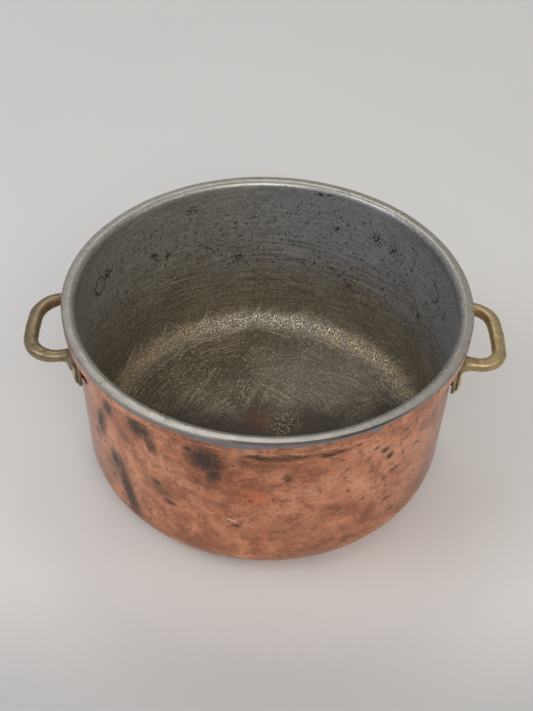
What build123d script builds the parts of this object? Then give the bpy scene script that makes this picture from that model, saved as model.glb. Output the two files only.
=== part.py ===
from build123d import *
import math
import os

# Two-handled copper saucepan: a tinned copper pan with a wired rim and two riveted brass loop handles.
# Millimetres. The origin is the centre of the base, where the pan stands. +Z runs up the pan's axis,
# and the right handle points along +X.

# Pan
PAN_HEIGHT = 122.8
RIM_RADIUS = 120.0
WALL_TOP_RADIUS = 114.4  # outside of the copper wall, carried up to the rim's height
WALL_BASE_RADIUS = 112.2  # outside of the copper wall, carried down to the base plane
CORNER_RADIUS = 21.0  # outside corner between wall and base
COPPER_THICKNESS = 1.8
TIN_THICKNESS = 0.3

# Rim: the sheet is turned outwards, down and back under an iron wire
RIM_DEPTH = 8.2
RIM_GAP = 0.25  # between the turned edge and the wall
RIM_OUTER_ROUND = 0.7
RIM_INNER_ROUND = 4.0
WIRE_CORNER_ROUND = 0.6
WIRE_BEND_ROUND = 2.2  # the wire's corner inside the sheet's outward bend
TIN_SKIRT = 4.0  # how far the tin runs down the rim's outer side

# Handles
HANDLE_HEIGHT = 93.4  # height of the loops and of the rivets
RIGHT_HANDLE_ANGLE = 0.0
LEFT_HANDLE_ANGLE = 182.6  # the left handle was set a little towards the front
RIGHT_REACH = 142.9  # from the pan's axis to the outside of the grip
LEFT_REACH = 144.9
BAR_WIDTH = 8.8  # bar section, measured in the plane of the loop
BAR_HEIGHT = 7.4
BAR_CORNER_ROUND = 3.5
FOOT_SPREAD = 23.6  # half the distance between the two arms at the wall
GRIP_SPREAD = 29.0  # half the distance between the loop's two corners
LOOP_CORNER_RADIUS = 15.5
GRIP_BOW = 1.4  # how far the middle of the grip stands out past its corners
GRIP_BOW_RADIUS = 150.0

# Handle feet: a flat round-ended lobe beside each arm, bedded on the wall and standing off it at the rivet
LOBE_ANGLE = 14.0  # between the handle's middle and the line where the lobe beds on the wall
LOBE_THICKNESS = 3.6
LOBE_BEDDING = 0.2  # how deep the wall's curve is let into the lobe's back
LOBE_RADIUS = 7.8
LOBE_LENGTH = 17.0  # from the rivet back to beyond the arm

# Rivets
RIVET_SPREAD_ANGLE = 20.2  # between the handle's middle and each rivet
SHANK_RADIUS = 3.2
HEAD_RADIUS = 5.6
HEAD_HEIGHT = 2.3
FLUSH_END_RADIUS = 5.8  # countersunk end, flush with the lining

INNER_CORNER_RADIUS = CORNER_RADIUS - COPPER_THICKNESS
TIN_CORNER_RADIUS = INNER_CORNER_RADIUS - TIN_THICKNESS
LINING_DEPTH = COPPER_THICKNESS + TIN_THICKNESS


def wall_radius(height):
    """Outside radius of the copper wall at a height."""
    return WALL_BASE_RADIUS + (WALL_TOP_RADIUS - WALL_BASE_RADIUS) * height / PAN_HEIGHT


def turned(points, radii):
    """Solid of revolution about the pan's axis from a closed outline of (radius, height) points."""
    outline = FilletPolyline(*points, radius=radii, close=True)
    return revolve(Plane.XZ * make_face(outline), Axis.Z)


def pan_form(inset, floor, corner, top):
    """Filled pan shape, set in from the outside of the wall, between a floor and a top height."""
    top_radius = wall_radius(top) - inset
    return turned(
        [(0, floor), (wall_radius(floor) - inset, floor), (top_radius, top), (0, top)],
        [0, corner, 0, 0],
    )


def flared_cutter(inset, floor, corner, mouth_round, face):
    """Hollow of the pan, whose mouth rounds outwards into the rim's top face."""
    brim = face + 2 * mouth_round
    mouth = wall_radius(face) - inset
    return turned(
        [
            (0, floor),
            (wall_radius(floor) - inset, floor),
            (mouth, face),
            (RIM_RADIUS + mouth_round, face),
            (RIM_RADIUS + mouth_round, brim),
            (0, brim),
        ],
        [0, corner, mouth_round, 0, 0, 0],
    )


def rim_band(outer, top, bottom, lower_round, upper_round):
    """Ring from the wall out to the rim's side."""
    return turned(
        [
            (wall_radius(bottom) - COPPER_THICKNESS, bottom),
            (outer, bottom),
            (outer, top),
            (wall_radius(top) - COPPER_THICKNESS, top),
        ],
        [0, lower_round, upper_round, 0],
    )


def wire_ring():
    """Iron wire, hammered square inside the turned rim."""
    top = PAN_HEIGHT - TIN_THICKNESS - COPPER_THICKNESS
    bottom = PAN_HEIGHT - RIM_DEPTH + COPPER_THICKNESS
    inner = wall_radius(PAN_HEIGHT)
    outer = RIM_RADIUS - TIN_THICKNESS - COPPER_THICKNESS
    return turned(
        [(inner, bottom), (outer, bottom), (outer, top), (inner, top)],
        [WIRE_CORNER_ROUND, WIRE_CORNER_ROUND, WIRE_CORNER_ROUND, WIRE_BEND_ROUND],
    )


def rim_slit():
    """Narrow gap left between the rim's turned-in edge and the wall."""
    bottom = PAN_HEIGHT - RIM_DEPTH
    top = bottom + COPPER_THICKNESS
    return turned(
        [
            (wall_radius(bottom), bottom - 1),
            (wall_radius(bottom) + RIM_GAP, bottom - 1),
            (wall_radius(top) + RIM_GAP, top + WIRE_CORNER_ROUND),
            (wall_radius(top), top + WIRE_CORNER_ROUND),
        ],
        [0, 0, 0, 0],
    )


def copper_shell(rivets):
    """Copper pan with its turned rim, cut for the rim's wire and the rivets."""
    shell = pan_form(0, 0, CORNER_RADIUS, PAN_HEIGHT - TIN_THICKNESS)
    shell += rim_band(
        RIM_RADIUS - TIN_THICKNESS,
        PAN_HEIGHT - TIN_THICKNESS,
        PAN_HEIGHT - RIM_DEPTH,
        RIM_OUTER_ROUND,
        RIM_OUTER_ROUND,
    )
    shell -= flared_cutter(
        COPPER_THICKNESS,
        COPPER_THICKNESS,
        INNER_CORNER_RADIUS,
        RIM_INNER_ROUND + TIN_THICKNESS,
        PAN_HEIGHT - TIN_THICKNESS,
    )
    shell -= wire_ring()
    shell -= rim_slit()
    for rivet_solid in rivets:
        shell -= rivet_solid
    return shell


def tin_skin(rivets):
    """Tin over the inside, the rim's top and the upper part of the rim's side."""
    side_bottom = PAN_HEIGHT - TIN_SKIRT
    skin = pan_form(COPPER_THICKNESS, COPPER_THICKNESS, INNER_CORNER_RADIUS, PAN_HEIGHT)
    skin += rim_band(RIM_RADIUS, PAN_HEIGHT, side_bottom, 0, RIM_OUTER_ROUND + TIN_THICKNESS)
    skin -= flared_cutter(LINING_DEPTH, LINING_DEPTH, TIN_CORNER_RADIUS, RIM_INNER_ROUND, PAN_HEIGHT)
    skin -= rim_under_tin(side_bottom)
    for rivet_solid in rivets:
        skin -= rivet_solid
    return skin


def rim_under_tin(side_bottom):
    """The part of the copper rim that the tin wraps round."""
    top = PAN_HEIGHT - TIN_THICKNESS
    outer = RIM_RADIUS - TIN_THICKNESS
    mouth = wall_radius(top) - COPPER_THICKNESS
    return turned(
        [
            (wall_radius(side_bottom - 1) - COPPER_THICKNESS, side_bottom - 1),
            (outer, side_bottom - 1),
            (outer, top),
            (mouth, top),
        ],
        [0, 0, RIM_OUTER_ROUND, RIM_INNER_ROUND + TIN_THICKNESS],
    )


def foot_plane(angle, side):
    """Plane tangent to the wall where a handle's lobe beds on it. X runs away from the handle's middle."""
    turn = math.radians(angle + side * LOBE_ANGLE)
    outward = Vector(math.cos(turn), math.sin(turn), 0)
    away = Vector(-math.sin(turn), math.cos(turn), 0) * side
    seat = outward * wall_radius(HANDLE_HEIGHT) + Vector(0, 0, HANDLE_HEIGHT)
    return Plane(origin=seat, x_dir=away, z_dir=outward)


def rivet_offset():
    """Distance along a lobe from where it beds on the wall to its rivet."""
    return wall_radius(HANDLE_HEIGHT) * math.sin(math.radians(RIVET_SPREAD_ANGLE - LOBE_ANGLE))


def peg(radius, start, end, tip_radius=None):
    """Round peg, or a cone, along Z from a start height to an end height."""
    alignment = (Align.CENTER, Align.CENTER, Align.MIN)
    if tip_radius is None:
        return Pos(0, 0, start) * Cylinder(radius, end - start, align=alignment)
    return Pos(0, 0, start) * Cone(radius, tip_radius, end - start, align=alignment)


def rivet(angle, side):
    """Brass rivet: domed outside head, shank, and an inner end hammered flush with the lining."""
    dome_radius = (HEAD_RADIUS**2 + HEAD_HEIGHT**2) / (2 * HEAD_HEIGHT)
    crown = LOBE_THICKNESS + HEAD_HEIGHT
    head = Pos(0, 0, crown - dome_radius) * Sphere(dome_radius)
    head &= peg(HEAD_RADIUS, LOBE_THICKNESS, crown + 1)
    fall = wall_radius(HANDLE_HEIGHT) * (1 - math.cos(math.radians(RIVET_SPREAD_ANGLE - LOBE_ANGLE)))
    sink_end = -fall - COPPER_THICKNESS
    shank = peg(SHANK_RADIUS, sink_end, LOBE_THICKNESS + HEAD_HEIGHT / 2)
    cone = peg(FLUSH_END_RADIUS, sink_end, sink_end + COPPER_THICKNESS, SHANK_RADIUS)
    flush_end = peg(FLUSH_END_RADIUS, sink_end - 2 * COPPER_THICKNESS, sink_end)
    solid = foot_plane(angle, side) * (Pos(rivet_offset(), 0, 0) * (head + shank + cone + flush_end))
    return solid - pan_form(LINING_DEPTH, LINING_DEPTH, TIN_CORNER_RADIUS, PAN_HEIGHT)


def loop(angle, reach):
    """The bar of one handle, a level loop with rounded corners and a slightly bowed grip."""
    middle = reach - BAR_WIDTH / 2
    corner = middle - GRIP_BOW
    start = wall_radius(HANDLE_HEIGHT) - 1
    route = FilletPolyline(
        (start, -FOOT_SPREAD),
        (corner, -GRIP_SPREAD),
        (middle, 0),
        (corner, GRIP_SPREAD),
        (start, FOOT_SPREAD),
        radius=[LOOP_CORNER_RADIUS, GRIP_BOW_RADIUS, LOOP_CORNER_RADIUS],
    )
    section_plane = Plane(origin=route @ 0, x_dir=(0, 0, 1), z_dir=route % 0)
    section = section_plane * RectangleRounded(BAR_HEIGHT, BAR_WIDTH, BAR_CORNER_ROUND)
    bar = sweep(section, path=route)
    return Rot(0, 0, angle) * Pos(0, 0, HANDLE_HEIGHT) * bar


def lobe(angle, side):
    """Foot lobe of a handle: a flat plate with round ends, from under the arm out round the rivet."""
    outer_end = Pos(rivet_offset(), 0) * Circle(LOBE_RADIUS)
    inner_end = Pos(rivet_offset() - LOBE_LENGTH, 0) * Circle(LOBE_RADIUS)
    web = Pos(rivet_offset() - LOBE_LENGTH / 2, 0) * Rectangle(LOBE_LENGTH, 2 * LOBE_RADIUS)
    outline = Pos(0, 0, -LOBE_BEDDING) * (outer_end + inner_end + web)
    return foot_plane(angle, side) * extrude(outline, LOBE_THICKNESS + LOBE_BEDDING)


def handle(angle, reach, rivets):
    """Cast brass handle: the loop and its two lobes in one piece."""
    casting = loop(angle, reach) + lobe(angle, -1) + lobe(angle, 1)
    casting -= pan_form(0, 0, CORNER_RADIUS, PAN_HEIGHT)
    for rivet_solid in rivets:
        casting -= rivet_solid
    return casting


right_front = rivet(RIGHT_HANDLE_ANGLE, -1)
right_rear = rivet(RIGHT_HANDLE_ANGLE, 1)
left_front = rivet(LEFT_HANDLE_ANGLE, 1)
left_rear = rivet(LEFT_HANDLE_ANGLE, -1)
all_rivets = [right_front, right_rear, left_front, left_rear]

parts = {
    "copper_body": copper_shell(all_rivets),
    "tin_lining": tin_skin(all_rivets),
    "rim_wire": wire_ring(),
    "handle_right": handle(RIGHT_HANDLE_ANGLE, RIGHT_REACH, [right_front, right_rear]),
    "handle_left": handle(LEFT_HANDLE_ANGLE, LEFT_REACH, [left_front, left_rear]),
    "rivet_right_front": right_front,
    "rivet_right_rear": right_rear,
    "rivet_left_front": left_front,
    "rivet_left_rear": left_rear,
}

os.makedirs("parts", exist_ok=True)
for name, part in parts.items():
    export_step(part, f"parts/{name}.step")
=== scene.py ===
import math

import bmesh
import bpy
import numpy as np
from mathutils import Matrix, Vector, noise


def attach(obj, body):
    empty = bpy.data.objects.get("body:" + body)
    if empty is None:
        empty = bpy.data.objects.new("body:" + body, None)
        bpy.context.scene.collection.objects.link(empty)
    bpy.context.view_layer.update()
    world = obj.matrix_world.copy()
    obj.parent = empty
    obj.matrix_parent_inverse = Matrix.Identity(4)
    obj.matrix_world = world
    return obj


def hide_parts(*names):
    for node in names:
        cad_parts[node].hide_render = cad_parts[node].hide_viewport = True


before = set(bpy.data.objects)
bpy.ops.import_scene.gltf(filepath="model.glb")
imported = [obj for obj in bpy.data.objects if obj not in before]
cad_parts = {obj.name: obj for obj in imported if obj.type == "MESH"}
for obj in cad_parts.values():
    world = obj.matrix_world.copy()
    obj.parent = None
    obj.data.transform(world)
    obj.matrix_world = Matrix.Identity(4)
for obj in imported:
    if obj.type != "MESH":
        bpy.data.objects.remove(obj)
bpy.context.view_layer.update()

# Looks of the two-handled copper saucepan. Lengths in the tables and helpers are millimetres, turned into
# metres where a mesh is made. Azimuth 0 is +X, the right handle, and -90 faces the camera.

MM = 0.001

# ---------------------------------------------------------------- sizes shared with the CAD part
PAN_HEIGHT = 122.8
RIM_RADIUS = 120.0
WALL_TOP_RADIUS = 114.4
WALL_BASE_RADIUS = 112.2
CORNER_RADIUS = 21.0
COPPER_THICKNESS = 1.8
LINING_DEPTH = 2.1
RIM_BOTTOM = 114.6
MOUTH_ROUND = 4.0
HANDLE_HEIGHT = 93.4
RIGHT_HANDLE_ANGLE = 0.0
LEFT_HANDLE_ANGLE = 182.6
RIGHT_REACH = 142.9
LEFT_REACH = 144.9
BAR_WIDTH = 8.8
BAR_HEIGHT = 7.4
FOOT_SPREAD = 23.6
GRIP_SPREAD = 29.0
LOOP_CORNER_RADIUS = 15.5
GRIP_BOW = 1.4
GRIP_BOW_RADIUS = 150.0
LOBE_ANGLE = 14.0
LOBE_THICKNESS = 3.6
LOBE_RADIUS = 7.8
LOBE_LENGTH = 17.0
RIVET_SPREAD_ANGLE = 20.2
HEAD_RADIUS = 5.6
HEAD_HEIGHT = 2.3
FLUSH_END_RADIUS = 5.8

# ---------------------------------------------------------------- sizes of the looks alone
LINING_RADIUS = 110.9  # tin wall, about half way up
HEAD_SEAT = 2.6  # height of a rivet's seat on its lobe, which is a wedge and thinnest there
ROUTE_SPACING = 0.9  # between rings along a handle's bar
RING_POINTS = 40  # round a handle's bar
HEAD_POINTS = 56  # round a rivet's head
FLUSH_POINTS = 48  # round a rivet's flush end
FLOOR_REACH = 4000


def wall_radius(height):
    return WALL_BASE_RADIUS + (WALL_TOP_RADIUS - WALL_BASE_RADIUS) * height / PAN_HEIGHT


# ---------------------------------------------------------------- mesh helpers
def new_object(name, points, faces, smooth=True):
    """Mesh object from points in millimetres."""
    mesh = bpy.data.meshes.new(name)
    mesh.from_pydata([tuple(c * MM for c in p) for p in points], [], faces)
    mesh.update()
    if smooth:
        mesh.polygons.foreach_set("use_smooth", [True] * len(mesh.polygons))
    thing = bpy.data.objects.new(name, mesh)
    bpy.context.scene.collection.objects.link(thing)
    return thing


def recalculate_normals(thing):
    form = bmesh.new()
    form.from_mesh(thing.data)
    bmesh.ops.recalc_face_normals(form, faces=form.faces)
    form.to_mesh(thing.data)
    form.free()


def rounded_line(corners, spacing, arc_step=6.0):
    """Dense 2-D points along straight lines between (x, y, fillet radius) corners."""
    points = []
    last = len(corners) - 1
    for index, (x, y, fillet) in enumerate(corners):
        here = Vector((x, y))
        if fillet == 0 or index in (0, last):
            points.append(here)
            continue
        back = (Vector(corners[index - 1][:2]) - here).normalized()
        ahead = (Vector(corners[index + 1][:2]) - here).normalized()
        half = back.angle(ahead) / 2
        reach = fillet / math.tan(half)
        centre = here + (back + ahead).normalized() * fillet / math.sin(half)
        start = here + back * reach - centre
        sweep = start.angle_signed(here + ahead * reach - centre)
        count = max(3, math.ceil(abs(math.degrees(sweep)) / arc_step))
        for step in range(count + 1):
            turn = Matrix.Rotation(-sweep * step / count, 2)
            points.append(centre + turn @ start)
    dense = [points[0]]
    for a, b in zip(points, points[1:]):
        pieces = max(1, math.ceil((b - a).length / spacing))
        dense += [a.lerp(b, step / pieces) for step in range(1, pieces + 1)]
    return dense


def lathe(name, line, segments, shape):
    """Closed turned mesh. line runs from axis to axis, and shape(azimuth, r, z) places each point."""
    line = [p for p in line if p[0] > 1e-6]
    rings = len(line)
    points = []
    for r, z in line:
        for step in range(segments):
            points.append(shape(2 * math.pi * step / segments, r, z))
    faces = []
    for ring in range(rings - 1):
        for step in range(segments):
            across = (step + 1) % segments
            faces.append((
                ring * segments + step,
                ring * segments + across,
                (ring + 1) * segments + across,
                (ring + 1) * segments + step,
            ))
    for ring, flip in ((0, True), (rings - 1, False)):
        centre = Vector((0, 0, 0))
        loop = [ring * segments + step for step in range(segments)]
        for corner in loop:
            centre += Vector(points[corner])
        points.append(tuple(centre / segments))
        hub = len(points) - 1
        for step in range(segments):
            a, b = loop[step], loop[(step + 1) % segments]
            faces.append((b, a, hub) if flip else (a, b, hub))
    thing = new_object(name, points, faces)
    recalculate_normals(thing)
    return thing


def wander(x, y, z, size, seed):
    """Smooth noise, about -1 to 1, that changes over a length of size millimetres."""
    return noise.noise(Vector((x / size + seed, y / size + 2 * seed, z / size - seed)))


# ---------------------------------------------------------------- pan: copper body and tin lining
# How far the hand-beaten rim stands inside a true circle, by azimuth.
OUT_OF_ROUND = (
    (0, 0.9), (45, 0.1), (90, 0.35), (135, 0.9), (180, 0.05), (225, 0.1), (270, 0.02), (315, 0.3), (360, 0.9),
)


def between(table, value):
    """Value read from a table of (place, value) rows, eased between them."""
    for (a, low), (b, high) in zip(table, table[1:]):
        if value <= b:
            share = (value - a) / (b - a)
            share = share * share * (3 - 2 * share)
            return low + (high - low) * share
    return table[-1][1]


def beaten(azimuth, r, z):
    """Point of the pan's wall with the slight unevenness of hand work, never outside the true form."""
    x, y = r * math.cos(azimuth), r * math.sin(azimuth)
    rise = max(0.0, min(1.0, z / PAN_HEIGHT))
    inward = between(OUT_OF_ROUND, math.degrees(azimuth)) * rise**2
    share = min(1.0, r / 100) ** 2
    inward += 0.10 * (1 + wander(x, y, z * 1.3, 26, 3.1)) * share
    inward += 0.035 * (1 + wander(x, y, z * 2, 7, 8.7)) * share
    scale = (r - inward) / r
    return x * scale, y * scale, z


def copper_form(azimuth, r, z):
    x, y, z = beaten(azimuth, r, z)
    if z < 0.4:
        z = max(z, 0.05 * (1 + wander(x, y, 0, 18, 1.7)))
    if RIM_BOTTOM - 0.5 < z < RIM_BOTTOM + 1.2 and r > 116:
        z += 0.22 * wander(x, y, 0, 14, 5.5)
    return x, y, z


def tin_form(azimuth, r, z):
    x, y, z = beaten(azimuth, r, z)
    if z > PAN_HEIGHT - 0.6 and r > 112:
        z -= 0.09 * (1 + wander(x, y, 0, 11, 9.3))
    return x, y, z


OUTSIDE_SPACING = 1.6
HIDDEN_SPACING = 12.0
SEGMENTS = 540

copper_outer = rounded_line(
    [
        (0, 0, 0),
        (WALL_BASE_RADIUS, 0, CORNER_RADIUS),
        (wall_radius(RIM_BOTTOM), RIM_BOTTOM + 0.3, 0),
        (wall_radius(RIM_BOTTOM) + 0.05, RIM_BOTTOM + 2.0, 0),
        (wall_radius(RIM_BOTTOM) + 0.4, RIM_BOTTOM + 2.0, 0),
        (wall_radius(RIM_BOTTOM) + 0.4, RIM_BOTTOM, 0.35),
        (RIM_RADIUS - 0.08, RIM_BOTTOM, 0.9),
        (RIM_RADIUS - 0.08, PAN_HEIGHT - 0.35, 0.8),
        (wall_radius(PAN_HEIGHT) + 3.5, PAN_HEIGHT - 0.35, 0),
    ],
    OUTSIDE_SPACING,
)
copper_inner = rounded_line(
    [
        (wall_radius(PAN_HEIGHT) - 1.4, PAN_HEIGHT - 6, 0),
        (WALL_BASE_RADIUS - COPPER_THICKNESS, COPPER_THICKNESS, CORNER_RADIUS - COPPER_THICKNESS),
        (0, COPPER_THICKNESS, 0),
    ],
    HIDDEN_SPACING,
)
copper_body = lathe("copper_body_look", copper_outer + copper_inner, SEGMENTS, copper_form)

tin_inner = rounded_line(
    [
        (0, LINING_DEPTH, 0),
        (WALL_BASE_RADIUS - LINING_DEPTH, LINING_DEPTH, CORNER_RADIUS - LINING_DEPTH),
        (wall_radius(PAN_HEIGHT) - LINING_DEPTH, PAN_HEIGHT, MOUTH_ROUND),
        (RIM_RADIUS, PAN_HEIGHT, 0.8),
        (RIM_RADIUS, PAN_HEIGHT - 1.5, 0),
        (RIM_RADIUS - 0.3, PAN_HEIGHT - 1.8, 0),
        (RIM_RADIUS - 0.5, PAN_HEIGHT - 0.9, 0),
    ],
    OUTSIDE_SPACING,
)
tin_back = rounded_line(
    [
        (RIM_RADIUS - 1.2, PAN_HEIGHT - 0.25, 0),
        (wall_radius(PAN_HEIGHT) - COPPER_THICKNESS - 0.1, PAN_HEIGHT - 0.25, MOUTH_ROUND),
        (WALL_BASE_RADIUS - COPPER_THICKNESS - 0.1, COPPER_THICKNESS + 0.1, CORNER_RADIUS - COPPER_THICKNESS),
        (0, COPPER_THICKNESS + 0.1, 0),
    ],
    HIDDEN_SPACING,
)
tin_lining = lathe("tin_lining_look", tin_inner + tin_back, SEGMENTS, tin_form)


# ---------------------------------------------------------------- handles
def place(frame_matrix, points):
    return [tuple(frame_matrix @ Vector(p)) for p in points]


def foot_frame(angle, side):
    """Matrix of the lobe's plane: X away from the handle's middle, Z outwards from the wall."""
    turn = math.radians(angle + side * LOBE_ANGLE)
    outward = Vector((math.cos(turn), math.sin(turn), 0))
    away = Vector((-math.sin(turn), math.cos(turn), 0)) * side
    seat = outward * wall_radius(HANDLE_HEIGHT) + Vector((0, 0, HANDLE_HEIGHT))
    columns = Matrix((away, outward.cross(away), outward)).transposed().to_4x4()
    return Matrix.Translation(seat) @ columns


RIVET_OFFSET = wall_radius(HANDLE_HEIGHT) * math.sin(math.radians(RIVET_SPREAD_ANGLE - LOBE_ANGLE))


def stacked(rings):
    """Closed faces and points from equal rings of points."""
    points = [p for ring in rings for p in ring]
    count = len(rings[0])
    faces = []
    for level in range(len(rings) - 1):
        for step in range(count):
            across = (step + 1) % count
            faces.append((
                level * count + step,
                level * count + across,
                (level + 1) * count + across,
                (level + 1) * count + step,
            ))
    faces.append(tuple(reversed(range(count))))
    faces.append(tuple((len(rings) - 1) * count + step for step in range(count)))
    return points, faces


def bar(angle, reach, arm_share, foot, corner_radius):
    """Swept bar of a handle. arm_share is the arms' width over the grip's, and foot and corner_radius shape
    its first arm."""
    arm_height = (1 + arm_share) / 2
    middle = reach - BAR_WIDTH / 2
    corner = middle - GRIP_BOW
    start = wall_radius(HANDLE_HEIGHT) - 1
    route = rounded_line(
        [
            (start, -foot, 0),
            (corner, foot / 2 - GRIP_SPREAD * 1.4, corner_radius),
            (middle, 0, GRIP_BOW_RADIUS),
            (corner, GRIP_SPREAD, LOOP_CORNER_RADIUS),
            (start, FOOT_SPREAD, 0),
        ],
        ROUTE_SPACING,
    )
    turn = Matrix.Rotation(math.radians(angle), 4, "Z")
    rings = []
    for index, here in enumerate(route):
        before, after = route[max(0, index - 1)], route[min(len(route) - 1, index + 1)]
        along = (after - before).normalized()
        across = Vector((along.y, -along.x))
        grip = max(0.0, min(1.0, (here.x - start - 6) / 16))
        grip = grip * grip * (3 - 2 * grip)
        flare = max(0.0, 1 - (here.x - start) / 11.0) ** 2
        width = BAR_WIDTH * (arm_share + (1 - arm_share) * grip)
        height = BAR_HEIGHT * (arm_height + (1 - arm_height) * grip) * (1 + 0.35 * flare)
        ring = []
        for step in range(RING_POINTS):
            phase = 2 * math.pi * step / RING_POINTS
            c, s = math.cos(phase), math.sin(phase)
            power = 2 / 2.35
            u = math.copysign(abs(c) ** power, c) * width / 2 * (1 + (1.9 if c > 0 else 0.1) * flare)
            v = math.copysign(abs(s) ** power, s) * height / 2
            spot = here + across * u
            ring.append(tuple(turn @ Vector((spot.x, spot.y, HANDLE_HEIGHT + v))))
        rings.append(ring)
    return stacked(rings)


def lobe(angle, side, rise):
    """Foot lobe with eased edges, a wedge that thins towards its rivet. rise is its swelling by the bar."""
    ease = 1.3
    levels = [(LOBE_RADIUS, height) for height in (-0.15, 0.6, 1.2, 1.8)]
    for tilt in (0, 20, 40, 60, 78, 90):
        turn = math.radians(tilt)
        shrink, drop = ease * (1 - math.cos(turn)), ease * (1 - math.sin(turn))
        levels.append((LOBE_RADIUS - shrink, LOBE_THICKNESS - drop))
    levels += [(radius, LOBE_THICKNESS) for radius in (4.8, 3.0, 1.2, 0.1)]
    inner_end = RIVET_OFFSET - LOBE_LENGTH
    rings = []
    for radius, height in levels:
        outline = []
        for start, middle, far in ((-90, RIVET_OFFSET, inner_end), (90, inner_end, RIVET_OFFSET)):
            for step in range(25):
                turn = math.radians(start + step * 7.5)
                outline.append((middle + radius * math.cos(turn), radius * math.sin(turn)))
            edge = outline[-1][1]
            outline += [(middle + (far - middle) * step / 16, edge) for step in range(1, 16)]
        ring = []
        for x, y in outline:
            swell = max(0.0, min(1.0, (RIVET_OFFSET - 3 - x) / 9.4)) ** 1.2
            wedge = swell * max(0.0, min(1.0, (x + 4) / 5))
            across = y / LOBE_RADIUS
            ring.append((x, y, height * (0.70 + rise * wedge * (1 - 0.4 * across * across))))
        rings.append(ring)
    points, faces = stacked(rings)
    return place(foot_frame(angle, side), points), faces


def smoothed(points, edges, rounds):
    """Laplacian smoothing of a mesh's points."""
    count = np.zeros(len(points))
    np.add.at(count, edges[:, 0], 1)
    np.add.at(count, edges[:, 1], 1)
    for _ in range(rounds):
        total = np.zeros_like(points)
        np.add.at(total, edges[:, 0], points[edges[:, 1]])
        np.add.at(total, edges[:, 1], points[edges[:, 0]])
        points = points * 0.5 + total / count[:, None] * 0.5
    return points


def casting(name, angle, reach, arm_share, foot, corner_radius, rise, seed):
    """Cast brass handle: bar and lobes melted into one skin, then filed uneven."""
    points, faces = [], []
    for piece_points, piece_faces in (
        bar(angle, reach, arm_share, foot, corner_radius),
        lobe(angle, -1, rise),
        lobe(angle, 1, rise),
    ):
        base = len(points)
        points += piece_points
        faces += [tuple(base + corner for corner in face) for face in piece_faces]
    rough = new_object(name + "_rough", points, faces)
    recalculate_normals(rough)
    melt = rough.modifiers.new("melt", "REMESH")
    melt.mode = "VOXEL"
    melt.voxel_size = 0.42 * MM
    melt.use_smooth_shade = True
    graph = bpy.context.evaluated_depsgraph_get()
    mesh = bpy.data.meshes.new_from_object(rough.evaluated_get(graph))
    bpy.data.objects.remove(rough)
    count = len(mesh.vertices)
    where = np.empty(count * 3)
    mesh.vertices.foreach_get("co", where)
    where = where.reshape(-1, 3) / MM
    ends = np.empty(len(mesh.edges) * 2, dtype=int)
    mesh.edges.foreach_get("vertices", ends)
    where = smoothed(where, ends.reshape(-1, 2), 9)
    mesh.vertices.foreach_set("co", (where * MM).ravel())
    mesh.update()
    normals = np.empty(count * 3)
    mesh.vertices.foreach_get("normal", normals)
    normals = normals.reshape(-1, 3)
    file_marks = np.array([
        0.16 * wander(x, y, z, 9, seed) + 0.07 * wander(x, y, z, 3.2, seed + 4) - 0.1 for x, y, z in where
    ])
    where += normals * file_marks[:, None]
    mesh.vertices.foreach_set("co", (where * MM).ravel())
    mesh.update()
    mesh.polygons.foreach_set("use_smooth", [True] * len(mesh.polygons))
    thing = bpy.data.objects.new(name, mesh)
    bpy.context.scene.collection.objects.link(thing)
    return thing


handle_left = casting(
    "handle_left_look", LEFT_HANDLE_ANGLE, LEFT_REACH,
    arm_share=0.76, foot=25.8, corner_radius=18.5, rise=1.5, seed=2.3,
)
handle_right = casting(
    "handle_right_look", RIGHT_HANDLE_ANGLE, RIGHT_REACH,
    arm_share=0.90, foot=23.4, corner_radius=12.5, rise=0.9, seed=6.1,
)


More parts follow.
